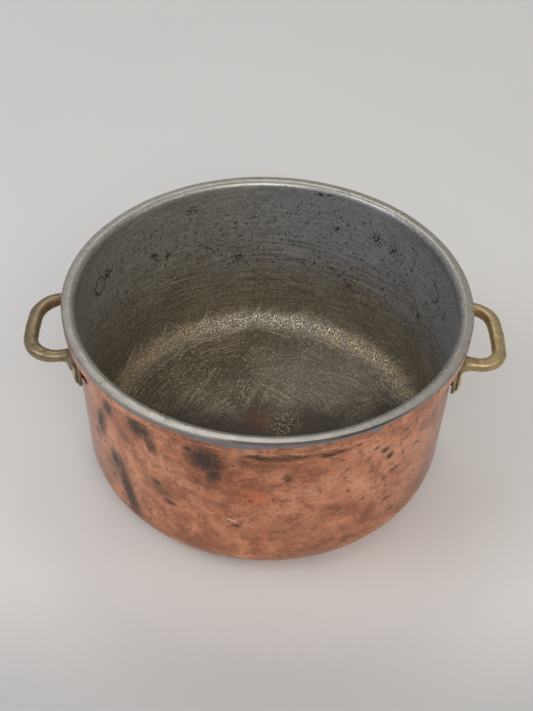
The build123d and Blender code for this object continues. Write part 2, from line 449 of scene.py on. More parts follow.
# ---------------------------------------------------------------- rivets
def rivet(name, angle, side, seed):
    """Hammered dome outside, shank, and a flush end inside that follows the lining."""
    fall = wall_radius(HANDLE_HEIGHT) * (1 - math.cos(math.radians(RIVET_SPREAD_ANGLE - LOBE_ANGLE)))
    rings = []
    dome = [(3.1, -fall - 1.0), (3.1, HEAD_SEAT - 0.3), (HEAD_RADIUS - 0.5, HEAD_SEAT - 0.25)]
    dome += [
        (HEAD_RADIUS * math.cos(math.radians(a)), HEAD_SEAT + HEAD_HEIGHT * math.sin(math.radians(a)) ** 0.9)
        for a in (2, 8, 15, 22, 30, 38, 46, 54, 62, 69, 76, 82, 87)
    ]
    facets = []
    for number in range(7):
        lean = 0.30 + 0.14 * noise.noise(Vector((seed, number * 3.7, 1)))
        spin = number * 2 * math.pi / 6 + seed if number else 0
        lean = lean if number else 0.07
        spread = math.sin(lean)
        facets.append(Vector((spread * math.cos(spin), spread * math.sin(spin), math.cos(lean))))
    for r, h in dome:
        ring = []
        for step in range(HEAD_POINTS):
            phase = 2 * math.pi * step / HEAD_POINTS
            spot = Vector((r * math.cos(phase), r * math.sin(phase), h))
            if h > HEAD_SEAT:
                local = spot - Vector((0, 0, HEAD_SEAT))
                for facet in facets:
                    over = local.dot(facet) - HEAD_HEIGHT * (0.90 if facet.z > 0.99 else 1.02)
                    if over > 0:
                        local -= facet * over * 0.85
                spot = local + Vector((0, 0, HEAD_SEAT))
                spot *= 1 + 0.012 * noise.noise(spot * 0.45 + Vector((seed, 0, 0)))
            ring.append(tuple(spot + Vector((RIVET_OFFSET, 0, 0))))
        rings.append(ring)
    points, faces = stacked(rings)
    points = place(foot_frame(angle, side), points)

    azimuth = math.radians(angle + side * RIVET_SPREAD_ANGLE)
    disc = []
    for r, proud in (
        (FLUSH_END_RADIUS, -0.12),
        (FLUSH_END_RADIUS - 0.15, 0.02),
        (FLUSH_END_RADIUS - 0.5, 0.16),
        (4.4, 0.2),
        (3.2, 0.22),
        (1.8, 0.24),
        (0.5, 0.24),
    ):
        ring = []
        for step in range(FLUSH_POINTS):
            phase = 2 * math.pi * step / FLUSH_POINTS
            u, v = r * math.cos(phase), r * math.sin(phase)
            lift = proud + 0.03 * noise.noise(Vector((u * 0.5, v * 0.5, seed)))
            height = HANDLE_HEIGHT + v
            x, y, z = beaten(azimuth, wall_radius(height) - LINING_DEPTH, height)
            radius = math.hypot(x, y) - lift
            turn = azimuth + u / radius
            ring.append((radius * math.cos(turn), radius * math.sin(turn), z))
        disc.append(ring)
    disc_points, disc_faces = stacked(disc)
    base = len(points)
    points += disc_points
    thing = new_object(name, points, faces + [tuple(base + c for c in f) for f in disc_faces])
    recalculate_normals(thing)
    for index, face in enumerate(thing.data.polygons):
        face.material_index = 1 if index >= len(faces) else 0
    return thing


rivets = {
    "rivet_right_front": rivet("rivet_right_front_look", RIGHT_HANDLE_ANGLE, -1, 1.3),
    "rivet_right_rear": rivet("rivet_right_rear_look", RIGHT_HANDLE_ANGLE, 1, 2.9),
    "rivet_left_front": rivet("rivet_left_front_look", LEFT_HANDLE_ANGLE, 1, 4.2),
    "rivet_left_rear": rivet("rivet_left_rear_look", LEFT_HANDLE_ANGLE, -1, 5.6),
}


# ---------------------------------------------------------------- material helpers
class Shader:
    """One node material. Values passed to a method are sockets, numbers or tuples."""

    def __init__(self, name):
        self.material = bpy.data.materials.new(name)
        self.material.use_nodes = True
        self.tree = self.material.node_tree
        self.tree.nodes.clear()
        here = self.node("ShaderNodeTexCoord").outputs["Object"]
        self.place = self.vector("SCALE", here, scale=1 / MM)
        split = self.node("ShaderNodeSeparateXYZ", {0: self.place})
        self.x, self.y, self.z = split.outputs
        flat = self.vector("MULTIPLY", self.place, (1, 1, 0))
        self.radius = self.length(flat)
        self.azimuth = self.math("MULTIPLY", self.math("ARCTAN2", self.y, self.x), 180 / math.pi)

    def node(self, kind, inputs=None, **settings):
        made = self.tree.nodes.new(kind)
        for key, value in settings.items():
            setattr(made, key, value)
        for key, value in (inputs or {}).items():
            if isinstance(value, bpy.types.NodeSocket):
                self.tree.links.new(value, made.inputs[key])
            else:
                made.inputs[key].default_value = value
        return made

    def math(self, operation, a, b=0.0, c=0.0, clamp=False):
        made = self.node("ShaderNodeMath", {0: a, 1: b, 2: c}, operation=operation, use_clamp=clamp)
        return made.outputs[0]

    def vector(self, operation, a, b=(0, 0, 0), scale=1.0):
        made = self.node("ShaderNodeVectorMath", {0: a, 1: b}, operation=operation)
        made.inputs[3].default_value = scale
        return made.outputs["Vector"]

    def length(self, a):
        return self.node("ShaderNodeVectorMath", {0: a}, operation="LENGTH").outputs["Value"]

    def distance(self, a, b):
        return self.node("ShaderNodeVectorMath", {0: a, 1: b}, operation="DISTANCE").outputs["Value"]

    def noise(self, where, size, detail=4.0, rough=0.55, color=False, distortion=0.0):
        """Noise whose features are about size millimetres."""
        made = self.node(
            "ShaderNodeTexNoise",
            {
                "Vector": where,
                "Scale": 1 / size,
                "Detail": detail,
                "Roughness": rough,
                "Distortion": distortion,
            },
        )
        return made.outputs["Color" if color else "Fac"]

    def stretch(self, scale, where=None):
        return self.vector("MULTIPLY", where or self.place, scale)

    def turned(self, where=None):
        """Place turned out of line with the noise's own grid."""
        return self.node(
            "ShaderNodeVectorRotate",
            {"Vector": where or self.place, "Rotation": (0.7, 0.5, 0.3)},
            rotation_type="EULER_XYZ",
        ).outputs[0]

    def warped(self, amount, size, detail=3.0, where=None):
        where = where or self.place
        push = self.vector("SUBTRACT", self.noise(where, size, detail, color=True), (0.5, 0.5, 0.5))
        return self.vector("ADD", where, self.vector("SCALE", push, scale=2 * amount))

    def step(self, value, low, high, to_low=0.0, to_high=1.0):
        """Smooth step from to_low at low to to_high at high."""
        made = self.node(
            "ShaderNodeMapRange",
            {"Value": value, "From Min": low, "From Max": high, "To Min": to_low, "To Max": to_high},
            interpolation_type="SMOOTHSTEP",
        )
        return made.outputs["Result"]

    def ramp(self, value, *stops):
        made = self.node("ShaderNodeValToRGB", {"Fac": value})
        bar_stops = made.color_ramp.elements
        while len(bar_stops) < len(stops):
            bar_stops.new(1.0)
        for stop, (position, color) in zip(bar_stops, stops):
            stop.position = position
            stop.color = (*color, 1) if isinstance(color, tuple) else (color, color, color, 1)
        return made.outputs["Color"]

    def mix(self, factor, a, b, blend="MIX"):
        made = self.node("ShaderNodeMix", data_type="RGBA", blend_type=blend)
        for index, value in ((0, factor), (6, a), (7, b)):
            if isinstance(value, bpy.types.NodeSocket):
                self.tree.links.new(value, made.inputs[index])
            elif index == 0:
                made.inputs[0].default_value = value
            else:
                made.inputs[index].default_value = (*value, 1)
        return made.outputs[2]

    def blend(self, factor, a, b):
        """Number that runs from a to b."""
        return self.node("ShaderNodeMix", {0: factor, 2: a, 3: b}, data_type="FLOAT").outputs[0]

    def bump(self, height, distance, strength=1.0, under=None):
        """Bump whose height of 1 stands distance millimetres."""
        size = {"Height": height, "Distance": distance * MM, "Strength": strength}
        made = self.node("ShaderNodeBump", size)
        if under:
            self.tree.links.new(under, made.inputs["Normal"])
        return made.outputs["Normal"]

    def surface(self, **sockets):
        shader = self.node("ShaderNodeBsdfPrincipled")
        for name, value in sockets.items():
            socket = shader.inputs[name.replace("_", " ")]
            if isinstance(value, bpy.types.NodeSocket):
                self.tree.links.new(value, socket)
            else:
                socket.default_value = value
        self.node("ShaderNodeOutputMaterial", {"Surface": shader.outputs[0]})
        return self.material

    def field(self, table, where, radius):
        """Highest of many soft hills on a wall of this radius. Each row is (azimuth, height, half width,
        half height, strength), with a lean where there is one, and its hill falls from its strength by 0.6
        over its half width."""
        total = None
        for azimuth, height, half_width, half_height, strength, *lean in table:
            turn = math.radians(azimuth)
            outward = (math.cos(turn), math.sin(turn), 0)
            centre = (radius * outward[0], radius * outward[1], height)
            away = self.vector("SUBTRACT", where, centre)
            if lean:
                away = self.node(
                    "ShaderNodeVectorRotate",
                    {"Vector": away, "Axis": outward, "Angle": math.radians(lean[0])},
                    rotation_type="AXIS_ANGLE",
                ).outputs[0]
            away = self.vector("MULTIPLY", away, (1 / half_width, 1 / half_width, 1 / half_height))
            hill = self.math("MULTIPLY_ADD", self.length(away), -0.6, strength)
            total = hill if total is None else self.math("MAXIMUM", total, hill)
        return total

    def ragged(self, field, crumbs, low=0.18, high=0.46, amount=0.6):
        """Mask of a field's hills, with their edges broken up by noise."""
        shift = self.math("MULTIPLY_ADD", crumbs, amount, -amount / 2)
        return self.step(self.math("ADD", field, shift), low, high)


# ---------------------------------------------------------------- tin
def tin_shade(s):
    """Colour, roughness and height of wiped tin, anywhere inside the pan or on its rim."""
    place = s.place
    cloud = s.noise(place, 42, 5, 0.6)
    grain = s.noise(s.turned(s.stretch((1, 1, 1.4))), 1.7, 5, 0.7)
    blotch = s.noise(s.turned(s.stretch((1, 1, 1.3))), 7, 5, 0.62)
    wipes = s.noise(s.stretch((0.05, 0.05, 0.75)), 1.0, 5, 0.62)
    wall = s.step(s.z, 8, 24)
    rim = s.math("MAXIMUM", s.step(s.z, 121.6, 122.5), s.step(s.radius, 117.0, 118.0))

    # Wall: grey at the top, olive at the left and bluish at the right, the blue tint a painted reflection of
    # window light; brown and dark towards the floor
    side = s.step(s.math("MULTIPLY_ADD", blotch, 40, s.x), -60, 85)
    grey = s.mix(side, (0.34, 0.32, 0.27), (0.36, 0.375, 0.42))
    low = s.mix(cloud, (0.17, 0.13, 0.085), (0.29, 0.24, 0.165))
    climb = s.math("ADD", s.z, s.math("MULTIPLY_ADD", cloud, 70, -35))
    wall_color = s.mix(s.step(climb, 30, 82), low, grey)
    behind = s.math("MULTIPLY", s.step(s.azimuth, 34, 54), s.step(s.azimuth, 152, 134))
    roll = s.step(s.math("MULTIPLY_ADD", cloud, 5, s.z), 118, 123)
    sheen = s.math("MULTIPLY", roll, s.math("MULTIPLY", behind, 0.35))
    wall_color = s.mix(sheen, wall_color, (0.60, 0.585, 0.56))
    shaded = s.math("MULTIPLY", s.step(s.z, 110, 119), s.math("MULTIPLY_ADD", behind, -0.5, 0.5))
    wall_color = s.mix(shaded, wall_color, (0.15, 0.14, 0.12))
    streaks = s.math("MULTIPLY", s.step(wipes, 0.46, 0.66), s.step(s.z, 96, 58, 0.25, 0.85))
    wall_color = s.mix(streaks, wall_color, (0.125, 0.10, 0.065))
    pale = s.math("MULTIPLY", s.step(s.z, 34, 50, 0.4, 0.65), s.step(wipes, 0.45, 0.32))
    wall_color = s.mix(pale, wall_color, (0.58, 0.54, 0.45))
    wall_color = s.mix(s.step(blotch, 0.50, 0.68, 0.0, 0.45), wall_color, (0.19, 0.165, 0.125))
    wall_color = s.mix(s.step(grain, 0.47, 0.66, 0.0, 0.5), wall_color, (0.58, 0.56, 0.50))
    wall_color = s.mix(s.step(grain, 0.46, 0.30, 0.0, 0.6), wall_color, (0.14, 0.12, 0.09))

    # Floor: dark olive with swirls left by scouring
    swirls = None
    for centre, pitch, seed in (((-15, 2, 0), 0.85, 0.0), ((72, 6, 0), 0.9, 4.0), ((24, -16, 0), 1.0, 9.0)):
        away = s.vector("SUBTRACT", s.warped(2.5, 22, 1), centre)
        flat = s.vector("MULTIPLY", away, (1, 1, 0))
        heading = s.vector("SCALE", s.vector("NORMALIZE", flat), scale=0.75)
        spun = s.node("ShaderNodeSeparateXYZ", {0: heading})
        ring = s.math("MULTIPLY", s.length(flat), pitch)
        coil = s.node("ShaderNodeCombineXYZ", {0: ring, 1: spun.outputs[0], 2: spun.outputs[1]}).outputs[0]
        marks = s.noise(s.turned(s.vector("ADD", coil, (seed, seed, 0))), 1.0, 3, 0.6)
        patch = s.step(s.noise(s.vector("ADD", place, (seed * 30, 0, 0)), 34, 2, 0.5), 0.40, 0.60)
        marks = s.math("MULTIPLY", s.step(marks, 0.51, 0.64), patch)
        swirls = marks if swirls is None else s.math("MAXIMUM", swirls, marks)
    floor_color = s.mix(cloud, (0.10, 0.08, 0.056), (0.225, 0.185, 0.135))
    floor_color = s.mix(s.step(blotch, 0.48, 0.66, 0.0, 0.5), floor_color, (0.14, 0.115, 0.08))
    # Painted reflection: a lighter patch on the floor towards the back right
    floor_reflection = s.step(s.distance(s.warped(10, 30), (40, 60, 2)), 62, 14, 0.0, 0.55)
    floor_color = s.mix(floor_reflection, floor_color, (0.34, 0.305, 0.26))
    floor_color = s.mix(s.math("MULTIPLY", swirls, 0.62), floor_color, (0.58, 0.50, 0.36))
    bright = s.step(s.noise(place, 11, 3, 0.6), 0.36, 0.62, 0.35, 1.0)
    glints = s.math("MULTIPLY", s.step(grain, 0.54, 0.64), s.math("MULTIPLY", bright, 0.85))
    floor_color = s.mix(glints, floor_color, (0.80, 0.68, 0.47))
    floor_color = s.mix(s.step(grain, 0.47, 0.34, 0.0, 0.8), floor_color, (0.08, 0.062, 0.04))
    # Painted shadow: the floor's front part darkens, shaded by the front wall
    front_wall_shadow = s.step(s.math("MULTIPLY_ADD", cloud, 50, s.y), 68, 24, 0.0, 0.9)
    floor_color = s.mix(front_wall_shadow, floor_color, (0.05, 0.036, 0.023))
    scribbles = s.step(s.noise(s.warped(3, 5), 1.5, 3, 0.6), 0.52, 0.60)
    scribbled = s.step(s.distance(s.warped(9, 12), (12, 7, 2)), 17, 6, 0.0, 0.7)
    scribbles = s.math("MULTIPLY", scribbles, scribbled)
    floor_color = s.mix(scribbles, floor_color, (0.50, 0.41, 0.25))
    rust = s.step(s.distance(s.warped(7, 14), (-3, 9, 2)), 15, 2, 0.0, 0.38)
    floor_color = s.mix(rust, floor_color, (0.22, 0.075, 0.045))

    # Corner: scoured tin with gold and silver flakes, whose bright colour is a painted highlight, strongest
    # towards the back
    flakes = s.noise(s.turned(), 0.75, 2, 0.6)
    corner = s.math("MULTIPLY", s.step(s.radius, 97, 103), s.step(s.z, 14.5, 9))
    corner = s.math("MULTIPLY", corner, s.step(blotch, 0.34, 0.56, 0.2, 1.0))
    corner = s.math("MULTIPLY", corner, s.step(s.y, -40, 70, 0.2, 1.0))
    glitter_and_painted_highlight = s.math("MULTIPLY", corner, s.step(flakes, 0.54, 0.62))
    color = s.mix(wall, floor_color, wall_color)
    golden = s.step(s.math("MULTIPLY_ADD", blotch, 60, s.math("ABSOLUTE", s.x)), 50, 90)
    corner_color = s.mix(golden, (0.21, 0.18, 0.14), (0.27, 0.20, 0.105))
    color = s.mix(s.math("MULTIPLY", corner, 0.75), color, corner_color)
    gaps = s.math("MULTIPLY", corner, s.step(flakes, 0.47, 0.36, 0.0, 0.85))
    color = s.mix(gaps, color, (0.05, 0.038, 0.025))
    color = s.mix(glitter_and_painted_highlight, color, s.mix(golden, (1.0, 0.92, 0.78), (0.95, 0.80, 0.52)))

    # Pits and stains
    specks = s.step(s.noise(s.turned(s.stretch((1, 1, 0.8))), 2.2, 4, 0.65), 0.555, 0.66)
    band = s.math("MULTIPLY", s.step(s.z, 30, 62), s.step(s.z, 120, 98))
    dirt = s.math("MULTIPLY", specks, s.math("MULTIPLY_ADD", band, 0.6, 0.25))
    dots = s.noise(s.turned(), 1.7, 2, 0.5)
    stains = s.ragged(s.field(WALL_STAINS, s.warped(2.4, 4, 3), LINING_RADIUS), dots, 0.30, 0.55, 4.2)
    dirt = s.math("MAXIMUM", dirt, s.math("MULTIPLY", stains, 0.85))
    ring = None
    for angle in (LEFT_HANDLE_ANGLE, RIGHT_HANDLE_ANGLE):
        for side_sign in (-1, 1):
            turn = math.radians(angle + side_sign * RIVET_SPREAD_ANGLE)
            middle = (LINING_RADIUS * math.cos(turn), LINING_RADIUS * math.sin(turn), HANDLE_HEIGHT)
            gap = s.math("ABSOLUTE", s.math("SUBTRACT", s.distance(place, middle), FLUSH_END_RADIUS))
            line = s.step(gap, 0.8, 0.25, 0.0, 0.95)
            ring = line if ring is None else s.math("MAXIMUM", ring, line)
    dirt = s.math("MAXIMUM", dirt, s.math("MULTIPLY", ring, s.step(s.noise(place, 5, 2), 0.35, 0.5)))
    color = s.mix(dirt, color, (0.025, 0.021, 0.016))

    # Rim: rubbed tin, dark grey on its outer side, and a dark line along its outer corner, strongest at the
    # front, that is a painted shadow under the lip
    rim_color = s.mix(s.noise(s.turned(), 5, 6, 0.72), (0.27, 0.245, 0.21), (0.54, 0.505, 0.44))
    rim_color = s.mix(s.step(grain, 0.52, 0.68, 0.0, 0.3), rim_color, (0.64, 0.60, 0.53))
    rim_color = s.mix(s.step(grain, 0.44, 0.30, 0.0, 0.35), rim_color, (0.12, 0.11, 0.09))
    rim_color = s.mix(s.step(blotch, 0.56, 0.68, 0.0, 0.4), rim_color, (0.13, 0.12, 0.10))
    front = s.math("MULTIPLY", s.step(s.azimuth, -106, -94), s.step(s.azimuth, -40, -62))
    skirt = s.math("MULTIPLY", s.step(s.radius, 118.5, 119.1), s.step(s.z, 122.1, 121.7, 0.0, 0.8))
    rim_color = s.mix(skirt, rim_color, (0.29, 0.282, 0.276))
    # Painted shadow: a dark line along the rim's outer corner, strongest at the front
    lip_shadow = s.math("MULTIPLY", s.step(s.radius, 118.2, 118.9), s.step(s.z, 121.7, 122.1))
    lip_shadow = s.math("MULTIPLY", lip_shadow, s.math("MULTIPLY_ADD", front, 0.75, 0.12))
    rim_color = s.mix(lip_shadow, rim_color, (0.06, 0.042, 0.046))
    color = s.mix(rim, color, rim_color)

    rough = s.blend(s.step(grain, 0.3, 0.7), 0.36, 0.54)
    rough = s.blend(wall, s.math("ADD", rough, 0.08), rough)
    rough = s.blend(dirt, rough, 0.75)
    rough = s.blend(rim, rough, s.step(grain, 0.3, 0.7, 0.27, 0.38))
    rolled = s.math("MULTIPLY", roll, s.math("SUBTRACT", 1.0, rim))
    rough = s.blend(rolled, rough, s.blend(behind, 0.55, 0.24))
    rough = s.blend(glitter_and_painted_highlight, rough, 0.30)
    height = s.math("MULTIPLY_ADD", grain, 0.5, s.math("MULTIPLY", wipes, 0.5))
    height = s.math("SUBTRACT", height, s.math("MULTIPLY", dirt, 0.8))
    height = s.math("ADD", height, s.math("MULTIPLY", s.math("MULTIPLY", flakes, corner), 4.0))
    metal = s.blend(rim, s.blend(glitter_and_painted_highlight, 0.48, 0.85), 0.80)
    return color, rough, height, metal


# Stains on the inside wall, as (azimuth, height, half width, half height, strength), and a lean for one
WALL_STAINS = (
    (157, 95, 3.6, 3.2, 0.85),
    (118, 108, 2.6, 1.6, 0.9),
    (121, 95, 1.8, 1.3, 0.8),
    (134, 82.7, 2.2, 2.6, 0.9),
    (128.5, 79.7, 2.2, 2.0, 0.9),
    (144, 70, 1.6, 4.0, 0.7),
    (112.3, 73, 9.5, 1.0, 0.75, -40),
    (102.7, 90, 1.3, 4.5, 0.7),
    (101.8, 62.6, 2.2, 3.2, 0.9),
    (66.5, 94, 2.3, 1.3, 0.95),
    (72, 118.5, 8.5, 1.2, 0.8),
    (51, 97.7, 3.2, 3.4, 0.95),
    (43.6, 96.5, 3.4, 3.0, 0.8),
    (60, 51, 2.0, 1.8, 0.8),
    (26.6, 64, 2.2, 3.0, 0.8),
    (23.3, 80, 2.0, 1.8, 0.8),
    (10.9, 89, 2.0, 2.2, 0.8),
    (96, 103, 2.0, 0.8, 0.6),
    (36, 108, 3.5, 1.4, 0.6),
    (84, 99, 1.4, 1.4, 0.7),
    (48, 84, 1.8, 1.8, 0.7),
)


def tin_material():
    s = Shader("tin_wiped")
    color, rough, height, metal = tin_shade(s)
    return s.surface(Base_Color=color, Metallic=metal, Roughness=rough, Normal=s.bump(height, 0.10))


# ---------------------------------------------------------------- copper
# Dark stains outside, as (azimuth, height, half width, half height, strength), and a lean for some
COPPER_STAINS = (
    (-126, 101, 8.5, 6.5, 0.88),
    (-122, 93, 4.5, 9.0, 0.66, -20),
    (-144, 78, 5.0, 13, 0.82, 15),
    (-148, 62, 5, 5, 0.6),
    (-139, 97, 5.0, 7.0, 0.78),
    (-121, 62, 4.5, 3.5, 0.66),
    (-117, 50, 5.0, 3.0, 0.62),
    (-133, 36, 5.5, 22, 0.88, -14),
    (-138, 56, 5.0, 9, 0.72, -14),
    (-140, 38, 2.2, 2.2, 0.7),
    (-136, 56, 3.0, 2.5, 0.7),
    (-105.5, 97, 9.0, 8.0, 0.95),
    (-103, 88, 4.5, 7.0, 0.8),
    (-110, 103, 5, 3, 0.6),
    (-97, 46, 2.2, 2.0, 0.7),
    (-91, 105.5, 9, 1.3, 0.75),
    (-80, 105.5, 7, 1.2, 0.65),
    (-72, 104, 6, 2.0, 0.85),
    (-64, 106, 3, 1.5, 0.6),
    (-82.5, 88, 3.2, 3.4, 0.6),
    (-67, 81, 1.8, 1.4, 0.6),
    (-65.6, 68.5, 1.5, 1.5, 0.6),
    (-60, 56, 1.7, 1.5, 0.6),
    (-58, 97, 1.6, 1.5, 0.75),
    (-54.4, 91.5, 2.6, 2.2, 0.9),
    (-52.5, 84, 2.6, 2.4, 0.9),
    (-49.4, 69, 4.2, 1.6, 0.85),
    (-53, 66, 1.8, 1.4, 0.8),
    (-52, 58, 1.6, 1.4, 0.7),
    (-50.6, 45, 3.2, 1.6, 0.8),
    (-41, 78, 1.8, 1.5, 0.6),
    (-47, 98, 3.0, 1.8, 0.6),
    (-44, 108, 4.5, 2.5, 0.7),
    (-41, 45, 2.2, 1.5, 0.6),
    (-48, 30, 2.4, 1.6, 0.6),
    (-28, 77, 3.0, 3.0, 0.5),
)

# Brown clouds outside, as (azimuth, height, half width, half height, strength)
COPPER_CLOUDS = (
    (-86, 44, 46, 14, 0.42),
    (-70, 56, 26, 10, 0.36),
    (-120, 58, 20, 14, 0.60),
    (-128, 96, 12, 12, 0.60),
    (-112, 22, 34, 7, 0.42),
    (-72, 24, 40, 7, 0.44),
    (-90, 100, 26, 9, 0.50),
    (-84, 105, 24, 2.8, 0.72),
    (-69, 105, 12, 2.6, 0.62),
    (-104, 78, 14, 12, 0.45),
    (-138, 52, 16, 24, 0.62),
)

# How far the tin runs down the rim's outer side, by azimuth
TIN_REACH = (
    (-180, 2.0), (-149, 1.7), (-125, 4.0), (-113, 3.0), (-103, 4.8), (-95, 5.2), (-86, 2.9), (-74, 2.8),
    (-68, 1.5), (-62.5, 2.4), (-61, 6.5), (-59.5, 2.4), (-56, 2.0), (-53, 0.2), (-15, 0.0), (0, 1.5),
    (40, 3.0), (80, 1.2), (120, 3.6), (150, 2.4), (180, 2.0),
)


def copper_material():
    s = Shader("copper_worn")
    place = s.place
    wandering = s.warped(5, 16)
    broad = s.noise(s.stretch((1, 1, 1.2)), 46, 4, 0.6)
    mottle = s.noise(wandering, 13, 6, 0.68)
    fine = s.noise(s.stretch((1, 1, 1.8)), 2.2, 6, 0.7)
    lines = s.noise(s.stretch((0.06, 0.06, 0.8)), 1.0, 5, 0.6)
    crumbs = s.noise(place, 2.2, 6, 0.75)
    value = s.math("MULTIPLY_ADD", broad, 0.48, s.math("MULTIPLY", mottle, 0.64))
    color = s.ramp(
        value,
        (0.40, (0.27, 0.095, 0.05)),
        (0.50, (0.48, 0.185, 0.10)),
        (0.59, (0.74, 0.32, 0.175)),
        (0.72, (0.86, 0.43, 0.27)),
    )
    color = s.mix(s.step(fine, 0.48, 0.68, 0.0, 0.30), color, (0.88, 0.48, 0.32))
    patches = s.step(s.noise(s.warped(3, 9), 8, 5, 0.7), 0.50, 0.64, 0.0, 0.62)
    color = s.mix(patches, color, (0.30, 0.125, 0.07))
    color = s.mix(s.step(fine, 0.47, 0.30, 0.0, 0.55), color, (0.28, 0.105, 0.06))
    color = s.mix(s.step(lines, 0.54, 0.68, 0.0, 0.22), color, (0.30, 0.12, 0.07))
    color = s.mix(s.step(lines, 0.44, 0.32, 0.0, 0.16), color, (0.92, 0.55, 0.40))

    # Brown clouds: across the front, down the left and along the base
    brown = s.math("MULTIPLY", s.step(s.z, 66, 16), s.step(s.noise(wandering, 20, 5, 0.65), 0.38, 0.60))
    color = s.mix(s.math("MULTIPLY", brown, 0.6), color, (0.33, 0.145, 0.08))
    clouds = s.ragged(s.field(COPPER_CLOUDS, s.warped(9, 18, 4), 113), mottle, 0.10, 0.55, 1.3)
    color = s.mix(s.math("MULTIPLY", clouds, 0.8), color, (0.175, 0.085, 0.048))
    flush = s.step(s.distance(s.warped(4, 8), (-4, -113, 72)), 11, 3, 0.0, 0.55)
    color = s.mix(flush, color, (0.78, 0.22, 0.11))

    # Greyer at the sides seen edge-on, near the handles: a painted reflection at grazing angles
    grazing_reflection = s.math("ADD", s.step(s.azimuth, -140, -165), s.step(s.azimuth, -40, -14))
    grazing_reflection = s.math("MULTIPLY", grazing_reflection, s.step(mottle, 0.35, 0.6, 0.32, 0.64))
    color = s.mix(grazing_reflection, color, (0.40, 0.325, 0.30))

    # Black and green stains
    hills = s.field(COPPER_STAINS, s.warped(2.8, 7, 4), 113)
    stains = s.ragged(hills, crumbs, 0.16, 0.70, 1.9)
    halo = s.ragged(hills, mottle, -0.08, 0.45, 1.2)
    color = s.mix(s.math("MULTIPLY", halo, 0.74), color, (0.19, 0.088, 0.054))
    specks = s.step(s.noise(s.warped(1.5, 5), 5.0, 3, 0.5), 0.66, 0.72, 0.0, 0.7)
    below = s.math("MULTIPLY", s.step(s.z, 108.0, 112.5), s.step(s.z, 116.0, 114.4))
    below = s.math("MULTIPLY", below, s.step(s.noise(place, 12, 5, 0.65), 0.40, 0.60, 0.15, 0.75))
    tarnish = s.math("MAXIMUM", s.math("MAXIMUM", s.math("MULTIPLY", stains, 0.86), specks), below)
    green = s.step(s.noise(place, 4.5, 3), 0.54, 0.64)
    dark = s.mix(green, (0.062, 0.042, 0.036), (0.075, 0.088, 0.068))
    color = s.mix(tarnish, color, dark)

    # A fresh scratch, and a pale line along the rim's lower edge that is a painted highlight
    scratch = s.field(((-98, 50, 3.4, 0.4, 0.9, 12),), s.warped(0.35, 2), 112.9)
    scratch = s.ragged(scratch, crumbs, 0.25, 0.35, 0.3)
    color = s.mix(scratch, color, (0.95, 0.82, 0.74))
    # Painted highlight: a pale line along the rim's lower edge
    edge = s.math("MULTIPLY", s.step(s.z, 114.2, 114.9), s.step(s.z, 116.2, 115.3))
    edge = s.math("MULTIPLY", edge, s.step(s.radius, 118.4, 119.2))
    color = s.mix(s.math("MULTIPLY", edge, s.step(mottle, 0.4, 0.6, 0.1, 0.6)), color, (0.90, 0.62, 0.50))

    # Tin that ran down the rim's outer side
    depth = s.ramp(
        s.math("MULTIPLY_ADD", s.azimuth, 1 / 360, 0.5),
        *[((azimuth + 180) / 360, depth / 10) for azimuth, depth in TIN_REACH],
    )
    depth = s.math("MULTIPLY", depth, 10)
    wobble = s.math("MULTIPLY_ADD", s.noise(s.stretch((1, 1, 0.5)), 3.2, 6, 0.75), 4.6, -2.3)
    tin_edge = s.math("SUBTRACT", s.math("SUBTRACT", PAN_HEIGHT, depth), wobble)
    tinned = s.math("MULTIPLY", s.step(s.math("SUBTRACT", s.z, tin_edge), -0.4, 0.4), s.step(depth, 0.1, 0.6))
    tin_color = s.mix(s.noise(place, 5, 5, 0.62), (0.19, 0.18, 0.183), (0.42, 0.41, 0.42))
    streak = s.step(s.noise(s.stretch((0.10, 0.10, 1.1)), 1.0, 4, 0.6), 0.50, 0.62, 0.0, 0.6)
    tin_color = s.mix(streak, tin_color, (0.25, 0.13, 0.12))
    color = s.mix(tinned, color, tin_color)

    rough = s.math("MULTIPLY_ADD", mottle, 0.16, s.math("MULTIPLY_ADD", fine, 0.14, 0.22))
    rough = s.blend(tarnish, rough, 0.55)
    rough = s.blend(scratch, rough, 0.25)
    height = s.math("MULTIPLY_ADD", fine, 0.5, s.math("MULTIPLY", tarnish, -0.5))
    height = s.math("ADD", height, s.math("MULTIPLY", tinned, 0.7))
    normal = s.bump(s.noise(place, 14, 2, 0.5), 0.10)
    return s.surface(
        Base_Color=color,
        Coat_Weight=0.12,
        Coat_Roughness=0.3,
        Metallic=s.blend(tarnish, 0.95, 0.70),
        Roughness=rough,
        Normal=s.bump(height, 0.07, 1.0, normal),
    )


